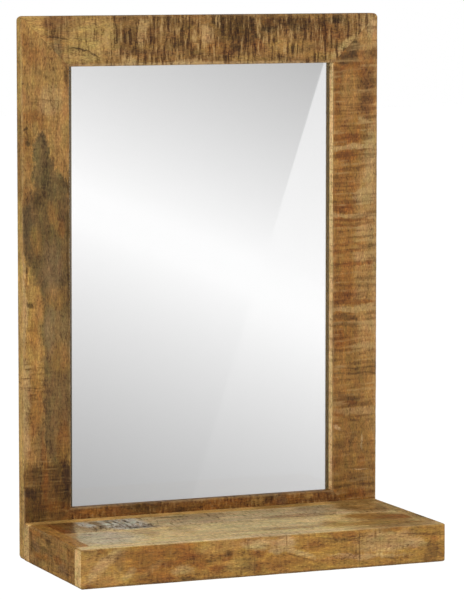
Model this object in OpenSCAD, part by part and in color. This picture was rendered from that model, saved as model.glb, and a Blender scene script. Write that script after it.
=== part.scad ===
// Wall mirror with a box shelf, in solid mango wood.
// Millimetres. +Z is up, +Y points into the wall and the front faces -Y. The origin is on the
// wall plane, midway between the entry holes of the two keyholes. The modules draw the mirror
// standing on z = 0, and hung() lowers it to that origin.

/* [Frame] */
// Width over the frame, and of the shelf
frame_w = 500; // [420:10:700]
// Height over the frame
frame_h = 700; // [500:10:1000]
// Face width of the four bars
bar_w = 65; // [60:1:90]
// Thickness of the bars, front to back
frame_t = 20; // [20:1:30]
// Radius that the long edges are eased to
arris_r = 2.5; // [1:0.5:3]
// Radius of the frame's outer corners, seen from the front
corner_r = 6; // [5:0.5:12]
// Radius of the bars' edge round the glass
inner_arris_r = 1.5; // [0.5:0.5:2.5]

/* [Glass and back] */
// Thickness of the glass pane
glass_t = 4; // [3:0.5:6]
// Thickness of the silver coat with its paint
silvering_t = 0.2; // [0.1:0.1:0.4]
// How far the glass reaches behind each bar
glass_lap = 8; // [6:0.5:9]
// Thickness of the backing panel
backing_t = 3; // [2.5:0.5:4]
// How far the panel lies below the back of the frame
backing_inset = 1; // [0.5:0.5:2]
// How far the panel reaches behind each bar
backing_lap = 18; // [16:0.5:22]
// Room round the glass and the panel in their rebates
rebate_gap = 0.5; // [0.3:0.1:1]

/* [Shelf] */
// How far the shelf stands out from the frame's front
shelf_d = 210; // [150:5:260]
// Height of the shelf's box
shelf_h = 50; // [46:1:60]
// Thickness of the front, back, end and top boards
board_t = 20; // [18:1:22]
// Thickness of the bottom boards
bottom_t = 12; // [10:1:14]
// Distance of the seam between the rear and front boards from the frame
seam_d = 95; // [70:1:120]
// Size of the small bevel along the seams of the top boards
seam_bevel = 0.5; // [0.2:0.1:1]
// Radius of the shelf's long outer edges and corners
edge_r = 4; // [3:0.5:6]
// Thickness of the tongues round the top and bottom
tongue_t = 6; // [4:0.5:7]
// Depth of the grooves that take the tongues
groove_d = 5; // [4:0.5:5.5]
// Room between a tongue and its groove
tongue_gap = 0.1; // [0.05:0.05:0.3]

/* [Dowels] */
// Diameter of the dowels in the mitres and the bottom
thin_dowel_d = 6; // [5:0.5:6]
// Diameter of the dowels in the front, ends and top
thick_dowel_d = 8; // [6:0.5:8]
// Length of every dowel
dowel_l = 30; // [24:1:34]
// Spare length at the end of a dowel's bore
bore_spare = 0.5; // [0.3:0.1:1]
// Distance of the first mitre dowel from the bars' outer edges
mitre_dowel_inset = 18; // [16:0.5:20]
// Distance between the two dowels of a mitre, across the bar
mitre_dowel_pitch = 22; // [16:1:24]
// Height of the lower dowels between the end boards and the front and back
box_dowel_low = 14.5; // [14:0.5:16]
// Depth of the upper ones below the shelf's top
box_dowel_drop = 20; // [19:0.5:22]
// Length of such a dowel that stands in the front or back board
box_dowel_bite = 12; // [10:0.5:14]
// Distance between the dowels that join two boards edge to edge
board_dowel_pitch = 150; // [100:5:180]

/* [Screws] */
// Diameter of the screws that hold the shelf to the frame
long_screw_d = 5; // [4:0.5:5]
// Length of those screws
long_screw_l = 35; // [30:1:36]
// Distance between those in the bottom rail
rail_screw_pitch = 120; // [90:5:120]
// Depth of those in the stiles below the shelf's top
stile_screw_drop = 16; // [14:0.5:18]
// Distance of those in the stiles from the shelf's ends
stile_screw_inset = 22; // [20:0.5:23]
// Diameter of the small screws in the panel and the hangers
small_screw_d = 3; // [2.5:0.5:3.5]
// Length of the small screws
small_screw_l = 12; // [10:1:14]
// Distance of the first panel screws from the panel's corners
panel_screw_inset = 55; // [40:5:80]
// How far the long screws' heads lie below the back
head_sink = 0.5; // [0.2:0.1:1]
// Room all round a screw or a dowel in its hole
hole_gap = 0.05; // [0.05:0.05:0.2]

/* [Hangers] */
// Depth of the hangers' middle below the frame's top
hanger_drop = 100; // [80:5:200]
// Length of a hanger plate
hanger_l = 54; // [50:1:60]
// Width of a hanger plate
hanger_w = 18; // [16:0.5:20]
// Thickness of a hanger plate
hanger_t = 1.5; // [1:0.25:2]
// Diameter of the hole that a wall screw's head enters
keyhole_d = 10; // [9:0.5:11]
// Width of the slot that the wall screw's shank hangs in
keyhole_slot_w = 5; // [4.5:0.5:6]
// Height of the slot's end above the entry hole
keyhole_rise = 12; // [10:0.5:13]
// Depth of the pocket behind a keyhole
pocket_d = 8; // [6:0.5:10]
// Width of that pocket
pocket_w = 14; // [13:0.5:15]
// Distance between the two screws of a plate
hanger_screw_pitch = 42; // [40:0.5:43]
// Room round a plate in its mortise
mortise_gap = 0.2; // [0.1:0.1:0.5]

/* [Hidden] */
$fn = 64;
over = 1; // how far a cutter runs past the face that it opens
cone_angle = 90; // full angle of a countersunk head
recess_w = 0.22; // width of a cross recess, as a share of the head
recess_l = 0.62; // length of a cross recess, as a share of the head
recess_deep = 0.22; // depth of a cross recess, as a share of the head
dowel_chamfer = 1;
stile_panel_screws_n = 3;
rail_panel_screws_n = 2;
rail_screws_n = 4;
board_dowels_n = 3;

backing_front = backing_inset + backing_t; // depth of the panel's front below the back
glass_front = backing_front + silvering_t + glass_t;
land_t = frame_t - glass_front; // wood in front of the glass
mitre_dowel_y = -(glass_front + land_t / 2);
opening_w = frame_w - 2 * bar_w;
opening_h = frame_h - 2 * bar_w;
panel_screw_u = bar_w - (backing_lap + glass_lap + rebate_gap) / 2;

front_y = -(frame_t + shelf_d);
inner_front_y = front_y + board_t; // back of the front board
inner_back_y = -(frame_t + board_t); // front of the back board
seam_y = -(frame_t + seam_d);
inner_w = frame_w - 2 * board_t;
top_z = shelf_h - board_t; // underside of the top boards
top_tongue_z = shelf_h - board_t / 2;
bottom_tongue_z = bottom_t / 2;
end_x = frame_w / 2 - board_t / 2;
rail_screw_z = shelf_h / 2;
box_dowel_zs = [box_dowel_low, shelf_h - box_dowel_drop];

hanger_x = frame_w / 2 - bar_w / 2;
hanger_z = frame_h - hanger_drop;
keyhole_z = -keyhole_rise / 2; // entry hole, from the plate's middle
slot_end_z = keyhole_rise / 2;

// Lowers a drawing that stands on z = 0 to the mirror's own origin
module hung() translate([0, 0, -(hanger_z + keyhole_z)]) children();

// Positions of n things that are pitch apart, centred on zero
function row(n, pitch) = [for (i = [0 : n - 1]) (i - (n - 1) / 2) * pitch];

// Turns a (y, z) outline into a bar along x, centred on x = 0
module along_x(length)
    translate([-length / 2, 0, 0])
        rotate([90, 0, 90]) linear_extrude(length) children();

// Turns an (x, z) outline into a slab from y = y0 to y = y1
module along_y(y0, y1)
    translate([0, y1, 0]) rotate([90, 0, 0]) linear_extrude(y1 - y0) children();

// What easing takes off a square corner at the origin, on the side of sx and sy
module eased_corner(r, sx = 1, sy = 1)
    scale_sign(sx, sy) difference() {
        translate([-over, -over]) square(r + over);
        translate([r, r]) circle(r);
    }

module scale_sign(sx, sy)
    mirror([sx < 0 ? 1 : 0, 0]) mirror([0, sy < 0 ? 1 : 0]) children();

module rounded_rect(w, h, r) {
    translate([r, 0]) square([w - 2 * r, h]);
    translate([0, r]) square([w, h - 2 * r]);
    for (x = [r, w - r], y = [r, h - r]) translate([x, y]) circle(r);
}

// A slot of overall width w between two centres, along the second axis
module slot(w, y0, y1) {
    translate([-w / 2, y0]) square([w, y1 - y0]);
    for (y = [y0, y1]) translate([0, y]) circle(d = w);
}

// A dowel along z, centred, with chamfered ends
module dowel(d, l) {
    for (s = [0, 1]) mirror([0, 0, s]) {
        cylinder(d = d, h = l / 2 - dowel_chamfer);
        translate([0, 0, l / 2 - dowel_chamfer])
            cylinder(d1 = d, d2 = d - dowel_chamfer, h = dowel_chamfer);
    }
}

module dowel_bore(d, depth)
    cylinder(d = d + 2 * hole_gap, h = depth + bore_spare);

function head_d(d) = 1.9 * d;
function head_l(d) = (head_d(d) - d) / 2 / tan(cone_angle / 2);

// A countersunk wood screw along -z, with the top of its head at z = 0
module screw(d, l) {
    tip = d;
    difference() {
        union() {
            translate([0, 0, -head_l(d)])
                cylinder(d1 = d, d2 = head_d(d), h = head_l(d));
            translate([0, 0, tip - l]) cylinder(d = d, h = l - tip - head_l(d) / 2);
            translate([0, 0, -l]) cylinder(d1 = d / 5, d2 = d, h = tip);
        }
        for (a = [0, 90]) rotate([0, 0, a])
            translate([-head_d(d) * recess_l / 2, -head_d(d) * recess_w / 2,
                       -head_d(d) * recess_deep])
                cube([head_d(d) * recess_l, head_d(d) * recess_w, head_d(d)]);
    }
}

// The hole for that screw, open above its head
module screw_hole(d, l) {
    g = hole_gap;
    translate([0, 0, -head_l(d) - g])
        cylinder(d1 = d + 2 * g, d2 = head_d(d) + 4 * g, h = head_l(d) + g);
    cylinder(d = head_d(d) + 4 * g, h = over + head_d(d));
    translate([0, 0, -l - bore_spare]) cylinder(d = d + 2 * g, h = l + bore_spare);
}

// Turns a thing along z so that it looks out of the back
module facing_wall() rotate([-90, 0, 0]) children();

// The frame: four mitred bars

// Section of a bar in (y, z), with its outer edge at z = 0 and its back at y = 0
module bar_section() difference() {
    translate([-frame_t, 0]) square([frame_t, bar_w]);
    translate([-frame_t, 0]) eased_corner(arris_r);
    eased_corner(arris_r, -1, 1);
    translate([-frame_t, bar_w]) eased_corner(inner_arris_r, 1, -1);
    translate([-glass_front, bar_w - glass_lap - rebate_gap])
        square([glass_front + over, glass_lap + rebate_gap + over]);
    translate([-backing_front, bar_w - backing_lap - rebate_gap])
        square([backing_front + over, backing_lap + rebate_gap + over]);
}

// A round corner of the frame, with the same eased edges as the bars
module bar_corner()
    rotate([90, 0, 0]) rotate_extrude() intersection() {
        square([corner_r, frame_t]);
        translate([-corner_r, 0]) rounded_rect(2 * corner_r, frame_t, arris_r);
    }

// A bar along x on z = 0, with mitred ends, bored for its mitre dowels
module mitred_bar(length) difference() {
    intersection() {
        union() {
            along_x(length - 2 * corner_r) bar_section();
            for (s = [-1, 1])
                translate([s * (length / 2 - corner_r), 0, corner_r]) bar_corner();
        }
        along_y(-frame_t - over, over) polygon([
            [-length / 2, 0], [length / 2, 0],
            [length / 2 - bar_w, bar_w], [bar_w - length / 2, bar_w]
        ]);
    }
    for (m = [0, 1], u = [0, mitre_dowel_pitch]) mirror([m, 0, 0])
        translate([-length / 2 + mitre_dowel_inset + u, mitre_dowel_y,
                   mitre_dowel_inset + u])
            rotate([0, 135, 0]) dowel_bore(thin_dowel_d, dowel_l / 2);
}

// The panel's screws along one bar, whose outer edge is z = 0, in a row of n
module panel_screw_row(n, length)
    for (x = row(n, (length - 2 * (bar_w - backing_lap + panel_screw_inset)) / (n - 1)))
        translate([x, -backing_inset, panel_screw_u]) facing_wall() children();

// Puts a bar's own things on the left stile, or on the top rail
module on_left_stile()
    translate([-frame_w / 2, 0, frame_h / 2]) rotate([0, 90, 0]) children();

module on_top_rail()
    translate([0, 0, frame_h]) mirror([0, 0, 1]) children();

module at_stile_screw()
    translate([stile_screw_inset - frame_w / 2, -head_sink, shelf_h - stile_screw_drop])
        facing_wall() children();

module at_rail_screws()
    for (x = row(rail_screws_n, rail_screw_pitch))
        translate([x, -head_sink, rail_screw_z]) facing_wall() children();

module at_shelf_screws() {
    for (m = [0, 1]) mirror([m, 0, 0]) at_stile_screw() children();
    at_rail_screws() children();
}

module left_stile_wood() difference() {
    on_left_stile() mitred_bar(frame_h);
    on_left_stile() panel_screw_row(stile_panel_screws_n, frame_h)
        screw_hole(small_screw_d, small_screw_l);
    left_hanger_mortise();
    at_stile_screw() screw_hole(long_screw_d, long_screw_l);
}

module left_stile() color("peru") left_stile_wood();

module right_stile() color("peru") mirror([1, 0, 0]) left_stile_wood();

module top_rail() color("sienna") on_top_rail() difference() {
    mitred_bar(frame_w);
    panel_screw_row(rail_panel_screws_n, frame_w) screw_hole(small_screw_d, small_screw_l);
}

module bottom_rail() color("sienna") difference() {
    mitred_bar(frame_w);
    panel_screw_row(rail_panel_screws_n, frame_w) screw_hole(small_screw_d, small_screw_l);
    at_rail_screws() screw_hole(long_screw_d, long_screw_l);
}

// The two dowels across one mitre; left and top are 1 or -1
module mitre_dowels(left, top) color("burlywood")
    translate([0, 0, top > 0 ? frame_h : 0])
        for (u = [0, mitre_dowel_pitch])
            translate([-left * (frame_w / 2 - mitre_dowel_inset - u), mitre_dowel_y,
                       -top * (mitre_dowel_inset + u)])
                rotate([0, left * top * 45, 0]) dowel(thin_dowel_d, dowel_l);

// The mirror and what holds it

module pane(lap, y0, y1)
    translate([-(opening_w / 2 + lap), y0, bar_w - lap])
        cube([opening_w + 2 * lap, y1 - y0, opening_h + 2 * lap]);

module mirror_glass() color("lightcyan", 0.4)
    pane(glass_lap, -glass_front, -backing_front - silvering_t);

module mirror_silvering() color("silver")
    pane(glass_lap, -backing_front - silvering_t, -backing_front);

module all_panel_screws() {
    for (m = [0, 1]) mirror([m, 0, 0]) on_left_stile()
        panel_screw_row(stile_panel_screws_n, frame_h) children();
    panel_screw_row(rail_panel_screws_n, frame_w) children();
    on_top_rail() panel_screw_row(rail_panel_screws_n, frame_w) children();
}

module backing_panel() color("tan") difference() {
    pane(backing_lap, -backing_front, -backing_inset);
    all_panel_screws() screw_hole(small_screw_d, small_screw_l);
}

module backing_screws() color("gainsboro")
    all_panel_screws() screw(small_screw_d, small_screw_l);

// The keyhole plates that hang the frame on two wall screws

module at_left_hanger() translate([-hanger_x, 0, hanger_z]) children();

module at_plate_screws()
    for (z = row(2, hanger_screw_pitch)) translate([0, 0, z]) facing_wall() children();

module left_hanger_mortise() at_left_hanger() {
    plate_end = (hanger_l - hanger_w) / 2;
    along_y(-hanger_t, over) slot(hanger_w + 2 * mortise_gap, -plate_end, plate_end);
    along_y(-hanger_t - pocket_d, 0) slot(pocket_w, keyhole_z, slot_end_z);
    at_plate_screws() screw_hole(small_screw_d, small_screw_l);
}

module hanger_plate() {
    plate_end = (hanger_l - hanger_w) / 2;
    at_left_hanger() difference() {
        along_y(-hanger_t, 0) slot(hanger_w, -plate_end, plate_end);
        along_y(-hanger_t - over, over) {
            translate([0, keyhole_z]) circle(d = keyhole_d);
            slot(keyhole_slot_w, keyhole_z, slot_end_z);
        }
        at_plate_screws() screw_hole(small_screw_d, small_screw_l);
    }
}

module left_hanger_plate() color("lightsteelblue") hanger_plate();

module right_hanger_plate() color("lightsteelblue") mirror([1, 0, 0]) hanger_plate();

module hanger_screws() color("gainsboro")
    for (m = [0, 1]) mirror([m, 0, 0]) at_left_hanger() at_plate_screws()
        screw(small_screw_d, small_screw_l);

// The shelf: a box of boards, screwed to the frame through its back board

// The grooves of the box, which run round inside its four sides
module grooves()
    for (z = [top_tongue_z, bottom_tongue_z])
        translate([-inner_w / 2 - groove_d, inner_front_y - groove_d, z - tongue_t / 2])
            cube([inner_w + 2 * groove_d, inner_back_y - inner_front_y + 2 * groove_d,
                  tongue_t]);

// The dowels' ends inside the front board, and inside the back board
module at_front_dowels()
    for (s = [-1, 1], z = box_dowel_zs)
        translate([s * end_x, inner_front_y - box_dowel_bite, z])
            rotate([-90, 0, 0]) children();

module at_back_dowels()
    for (s = [-1, 1], z = box_dowel_zs)
        translate([s * end_x, inner_back_y + box_dowel_bite, z])
            rotate([90, 0, 0]) children();

module box_dowel_bore() translate([0, 0, -bore_spare])
    dowel_bore(thick_dowel_d, dowel_l + bore_spare);

module box_dowel() translate([0, 0, dowel_l / 2]) dowel(thick_dowel_d, dowel_l);

// A board across the box's whole width, with its long outer edges rounded
module cross_board(y0, y1)
    along_y(y0, y1) translate([-frame_w / 2, 0]) rounded_rect(frame_w, shelf_h, edge_r);

module shelf_front_board() color("chocolate") difference() {
    intersection() {
        cross_board(front_y, inner_front_y);
        along_x(frame_w) translate([front_y, 0]) difference() {
            square([board_t, shelf_h]);
            eased_corner(arris_r);
            translate([0, shelf_h]) eased_corner(arris_r, 1, -1);
        }
        translate([-frame_w / 2, front_y, 0]) linear_extrude(shelf_h) difference() {
            square([frame_w, board_t]);
            eased_corner(arris_r);
            translate([frame_w, 0]) eased_corner(arris_r, -1, 1);
        }
    }
    grooves();
    at_front_dowels() box_dowel_bore();
}

module shelf_back_board() color("burlywood") difference() {
    cross_board(inner_back_y, -frame_t);
    grooves();
    at_back_dowels() box_dowel_bore();
    at_shelf_screws() screw_hole(long_screw_d, long_screw_l);
}

module left_end_wood() difference() {
    along_y(inner_front_y, inner_back_y) translate([-frame_w / 2, 0]) difference() {
        square([board_t, shelf_h]);
        eased_corner(edge_r);
        translate([0, shelf_h]) eased_corner(edge_r, 1, -1);
    }
    grooves();
    at_front_dowels() box_dowel_bore();
    at_back_dowels() box_dowel_bore();
}

module shelf_left_end() color("sienna") left_end_wood();

module shelf_right_end() color("sienna") mirror([1, 0, 0]) left_end_wood();

// A board of the top or bottom from y0 back to y1, t thick on z0, with a tongue at its ends
// and one along its front or its back
module tongued_board(y0, y1, z0, t, front = 0, back = 0) {
    tongue = groove_d - tongue_gap;
    translate([-inner_w / 2, y0, z0]) cube([inner_w, y1 - y0, t]);
    translate([-inner_w / 2 - tongue, y0 - front * tongue,
               z0 + t / 2 - tongue_t / 2 + tongue_gap])
        cube([inner_w + 2 * tongue, y1 - y0 + (front + back) * tongue,
              tongue_t - 2 * tongue_gap]);
}

// The bevels along the upper edges of a top board, from y0 to y1
module seam_bevels(y0, y1)
    for (y = [y0, y1]) translate([0, y, shelf_h]) rotate([45, 0, 0])
        cube([frame_w, seam_bevel * sqrt(2), seam_bevel * sqrt(2)], center = true);

module at_board_dowels(z)
    for (x = row(board_dowels_n, board_dowel_pitch))
        translate([x, seam_y - dowel_l / 2, z]) rotate([-90, 0, 0]) children();

module edge_dowel_bores(z, d)
    at_board_dowels(z) translate([0, 0, -bore_spare]) dowel_bore(d, dowel_l + bore_spare);

module edge_dowels(z, d)
    at_board_dowels(z) translate([0, 0, dowel_l / 2]) dowel(d, dowel_l);

module shelf_top_rear_board() color("rosybrown") difference() {
    tongued_board(seam_y, inner_back_y, top_z, board_t, back = 1);
    seam_bevels(seam_y, inner_back_y);
    edge_dowel_bores(top_tongue_z, thick_dowel_d);
}

module shelf_top_front_board() color("wheat") difference() {
    tongued_board(inner_front_y, seam_y, top_z, board_t, front = 1);
    seam_bevels(inner_front_y, seam_y);
    edge_dowel_bores(top_tongue_z, thick_dowel_d);
}

module shelf_bottom_rear_board() color("rosybrown") difference() {
    tongued_board(seam_y, inner_back_y, 0, bottom_t, back = 1);
    edge_dowel_bores(bottom_tongue_z, thin_dowel_d);
}

module shelf_bottom_front_board() color("wheat") difference() {
    tongued_board(inner_front_y, seam_y, 0, bottom_t, front = 1);
    edge_dowel_bores(bottom_tongue_z, thin_dowel_d);
}

module shelf_front_dowels() color("burlywood") at_front_dowels() box_dowel();

module shelf_back_dowels() color("burlywood") at_back_dowels() box_dowel();

module shelf_top_dowels() color("burlywood") edge_dowels(top_tongue_z, thick_dowel_d);

module shelf_bottom_dowels() color("burlywood") edge_dowels(bottom_tongue_z, thin_dowel_d);

module shelf_screws() color("gainsboro") at_shelf_screws() screw(long_screw_d, long_screw_l);

hung() left_stile();
hung() right_stile();
hung() top_rail();
hung() bottom_rail();
hung() mitre_dowels(1, 1);  // mitre_dowels_top_left
hung() mitre_dowels(-1, 1);  // mitre_dowels_top_right
hung() mitre_dowels(1, -1);  // mitre_dowels_bottom_left
hung() mitre_dowels(-1, -1);  // mitre_dowels_bottom_right
hung() mirror_glass();
hung() mirror_silvering();
hung() backing_panel();
hung() backing_screws();
hung() left_hanger_plate();
hung() right_hanger_plate();
hung() hanger_screws();
hung() shelf_front_board();
hung() shelf_back_board();
hung() shelf_left_end();
hung() shelf_right_end();
hung() shelf_top_rear_board();
hung() shelf_top_front_board();
hung() shelf_bottom_rear_board();
hung() shelf_bottom_front_board();
hung() shelf_front_dowels();
hung() shelf_back_dowels();
hung() shelf_top_dowels();
hung() shelf_bottom_dowels();
hung() shelf_screws();
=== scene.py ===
"""The look of a framed wall mirror with a box shelf, in lacquered mango wood.

Metres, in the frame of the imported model. The marks on the wood are placed in millimetres: x from
the mirror's centre line, y from the wall and z up from the mirror's foot.
"""

import math

import bmesh
import bpy
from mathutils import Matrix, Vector, noise


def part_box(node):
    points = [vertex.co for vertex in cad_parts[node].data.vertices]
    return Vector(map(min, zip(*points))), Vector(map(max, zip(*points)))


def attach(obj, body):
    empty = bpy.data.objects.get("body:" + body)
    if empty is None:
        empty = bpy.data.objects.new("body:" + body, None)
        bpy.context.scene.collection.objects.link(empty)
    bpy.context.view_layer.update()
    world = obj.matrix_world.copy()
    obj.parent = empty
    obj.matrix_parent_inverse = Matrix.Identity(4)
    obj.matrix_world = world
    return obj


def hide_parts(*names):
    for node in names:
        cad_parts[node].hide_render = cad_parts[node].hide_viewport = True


MM = 0.001
FOOT = -0.594  # height of the mirror's foot in the row frame

# Light that a plain white surface gives back in this studio, and the sheen over dark wood
WHITE_LEVEL = 1.11
SHEEN_LEVEL = 0.0175

RAGGED_EDGE = 12  # millimetres that a ragged value of 1 moves the edge of a large mark by
DEEP = 1e6  # half depth of a mark, so large that only its place on the face counts


def linear(red, green, blue):
    """A display colour, 0 to 255, as linear light."""
    return [((c / 255 + 0.055) / 1.055) ** 2.4 if c > 10 else c / 255 / 12.92
            for c in (red, green, blue)]


def wood_tone(red, green, blue):
    """The wood's own colour, for it to show this display colour in the studio."""
    lit = [max(c - SHEEN_LEVEL, 0.002) / WHITE_LEVEL for c in linear(red, green, blue)]
    return (*lit, 1)


class Net:
    """Adds nodes to one material and joins them; each method gives back an output socket."""

    def __init__(self, name):
        self.material = bpy.data.materials.new(name)
        self.material.use_nodes = True
        self.tree = self.material.node_tree
        self.shader = self.tree.nodes["Principled BSDF"]

    def feed(self, socket, value):
        if isinstance(value, bpy.types.NodeSocket):
            self.tree.links.new(value, socket)
        else:
            socket.default_value = value

    def node(self, kind, out, inputs, **settings):
        made = self.tree.nodes.new(kind)
        for key, value in settings.items():
            setattr(made, key, value)
        for key, value in inputs.items():
            self.feed(made.inputs[key], value)
        return made.outputs[out]

    def place_mm(self):
        """The place on the object in millimetres, with z up from the mirror's foot."""
        here = self.tree.nodes.new("ShaderNodeTexCoord").outputs["Object"]
        return self.node("ShaderNodeMapping", 0, {
            "Vector": here, "Location": (0, 0, -FOOT / MM), "Scale": (1 / MM, 1 / MM, 1 / MM)})

    def reorder(self, vector, order):
        """The same place with its axes in another order, such as "zxy"."""
        parts = self.tree.nodes.new("ShaderNodeSeparateXYZ")
        self.feed(parts.inputs[0], vector)
        joined = self.tree.nodes.new("ShaderNodeCombineXYZ")
        for slot, axis in enumerate(order):
            self.feed(joined.inputs[slot], parts.outputs[axis.upper()])
        return joined.outputs[0]

    def part(self, vector, axis):
        """One coordinate of a place."""
        parts = self.tree.nodes.new("ShaderNodeSeparateXYZ")
        self.feed(parts.inputs[0], vector)
        return parts.outputs[axis]

    def noise(self, vector, stretch, seed=0.0, detail=3.0, rough=0.5, out="Fac"):
        """Noise with features about 1 / stretch long on each axis."""
        moved = self.node("ShaderNodeMapping", 0, {
            "Vector": vector, "Scale": stretch,
            "Location": (seed * 3.7, seed * 1.3 + 11, seed * 2.1)})
        return self.node("ShaderNodeTexNoise", out, {
            "Vector": moved, "Scale": 1.0, "Detail": detail, "Roughness": rough})

    def ramp(self, value, low, high, to_low=0.0, to_high=1.0, kind="SMOOTHSTEP"):
        """Goes from to_low to to_high while the value goes from low to high."""
        return self.node("ShaderNodeMapRange", "Result", {
            "Value": value, "From Min": low, "From Max": high,
            "To Min": to_low, "To Max": to_high}, interpolation_type=kind)

    def calc(self, operation, *values, clamp=False):
        return self.node("ShaderNodeMath", 0, dict(enumerate(values)),
                         operation=operation, use_clamp=clamp)

    def vector_calc(self, operation, *values, out=0):
        return self.node("ShaderNodeVectorMath", out, dict(enumerate(values)),
                         operation=operation)

    def mix(self, factor, one, two, kind="MIX"):
        made = self.tree.nodes.new("ShaderNodeMix")
        made.data_type = "RGBA"
        made.blend_type = kind
        self.feed(made.inputs[0], factor)
        self.feed(made.inputs[6], one)
        self.feed(made.inputs[7], two)
        return made.outputs[2]

    def drift(self, vector, seed, size, reach):
        """Moves a place by up to reach, in waves of about size, to give edges a natural line."""
        wave = self.noise(vector, (1 / size,) * 3, seed, 2.0, out="Color")
        centred = self.vector_calc("SUBTRACT", wave, (0.5, 0.5, 0.5))
        pushed = self.vector_calc("MULTIPLY", centred, (2 * reach, 2 * reach, 2 * reach))
        return self.vector_calc("ADD", vector, pushed)

    def blob(self, face, across, up, half_across, half_up, tilt=0.0, soft=0.5, ragged=0.0):
        """1 inside a tilted ellipse on a face and 0 outside, with an edge as soft as asked.

        ragged moves the edge in or out, by a few millimetres however large the ellipse is.
        """
        share = min(1.0, RAGGED_EDGE / min(half_across, half_up))
        inside = self.node("ShaderNodeMapping", 0, {
            "Vector": face, "Location": (across, up, 0),
            "Rotation": (0, 0, math.radians(tilt)), "Scale": (half_across, half_up, DEEP)},
            vector_type="TEXTURE")
        far = self.vector_calc("LENGTH", inside, out="Value")
        far = self.calc("MULTIPLY_ADD", ragged, share, far)
        return self.ramp(far, 1 - soft / 2, 1 + soft / 2, 1.0, 0.0)

    def cover(self, face, blobs, soft, ragged=0.0):
        """1 within the union of some blobs."""
        union = None
        for spot in blobs:
            here = self.blob(face, *spot, soft=soft, ragged=ragged)
            union = here if union is None else self.calc("MAXIMUM", union, here)
        return union

    def marks(self, shade, face, marks, ragged=0.0):
        """Lays each mark's tone over the shade, within the union of its blobs."""
        for tone, strength, soft, *blobs in marks:
            union = self.cover(face, blobs, soft, ragged)
            shade = self.mix(self.calc("MULTIPLY", union, strength), shade, wood_tone(*tone))
        return shade


class Sky(Net):
    """The same for the world's nodes."""

    def __init__(self, name):
        self.world = bpy.data.worlds.new(name)
        self.world.use_nodes = True
        self.tree = self.world.node_tree
        self.shader = self.tree.nodes["Background"]


# Tones of the wood, as the eye sees them
CREAM = (190, 158, 112)
PALE = (178, 144, 94)
GOLD = (168, 128, 70)
TAN = (158, 118, 68)
HONEY = (150, 110, 58)
ORANGE = (146, 98, 48)
RUST = (134, 84, 42)
UMBER = (112, 80, 46)
OLIVE = (110, 89, 56)
PLUM = (116, 86, 60)
BROWN = (94, 67, 36)
SOOT = (84, 62, 38)
BLACK = (58, 42, 26)
GREY = (134, 112, 80)


class Wood:
    """How one board is cut and marked.

    marks have ragged edges that follow the wood, and strips, which lie over them, have even ones.
    The saw's lines are saw_every apart, saw_long long and saw_deep strong, and sawn adds to that
    strength within its blobs; none is darker than saw_dark. streak and mottle are the strengths of
    two of the wood's patterns, and rough is the lacquer's roughness. The sides named in touched
    are planed a little uneven, and handling has worn the edges between them.
    """

    def __init__(self, grain, face, base, seed, touched, marks=(), strips=(), sawn=(),
                 saw_every=3.0, saw_long=40, saw_deep=0.5, saw_tilt=0.0, saw_rough=0.65,
                 saw_dark=1.0, streak=1.2, mottle=1.2, rough=0.42):
        self.grain, self.face, self.base, self.seed = grain, face, base, seed
        self.touched, self.marks, self.strips, self.sawn = touched.split(), marks, strips, sawn
        self.saw_every, self.saw_long, self.saw_deep = saw_every, saw_long, saw_deep
        self.saw_tilt, self.saw_rough, self.saw_dark = saw_tilt, saw_rough, saw_dark
        self.streak, self.mottle, self.rough = streak, mottle, rough


# The object's axes in the order that a board has them: along the grain first, and on its face
# across and up
STILE_AXES = {"grain": "zxy", "face": "xzy"}
RAIL_AXES = {"grain": "xzy", "face": "xzy"}
TOP_AXES = {"grain": "xyz", "face": "xyz"}
END_AXES = {"grain": "yzx", "face": "yzx"}
FRAME_SIDES = "-x +x -y -z +z"

# Blobs that more than one board has. PAST is a half length that runs past any board's ends
PAST = 2000
BOTH_ENDS = ((-250.6, 25, 1.6, PAST), (250.6, 25, 1.6, PAST))
# painted reflection: the shelf top's left corner, darker beyond a slanted straight edge, where its
# lacquer mirrors the left stile and not the mirror
PAINTED_REFLECTION_CORNER = (-243.7, -113.8, 30, 400, -16.9)

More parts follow.
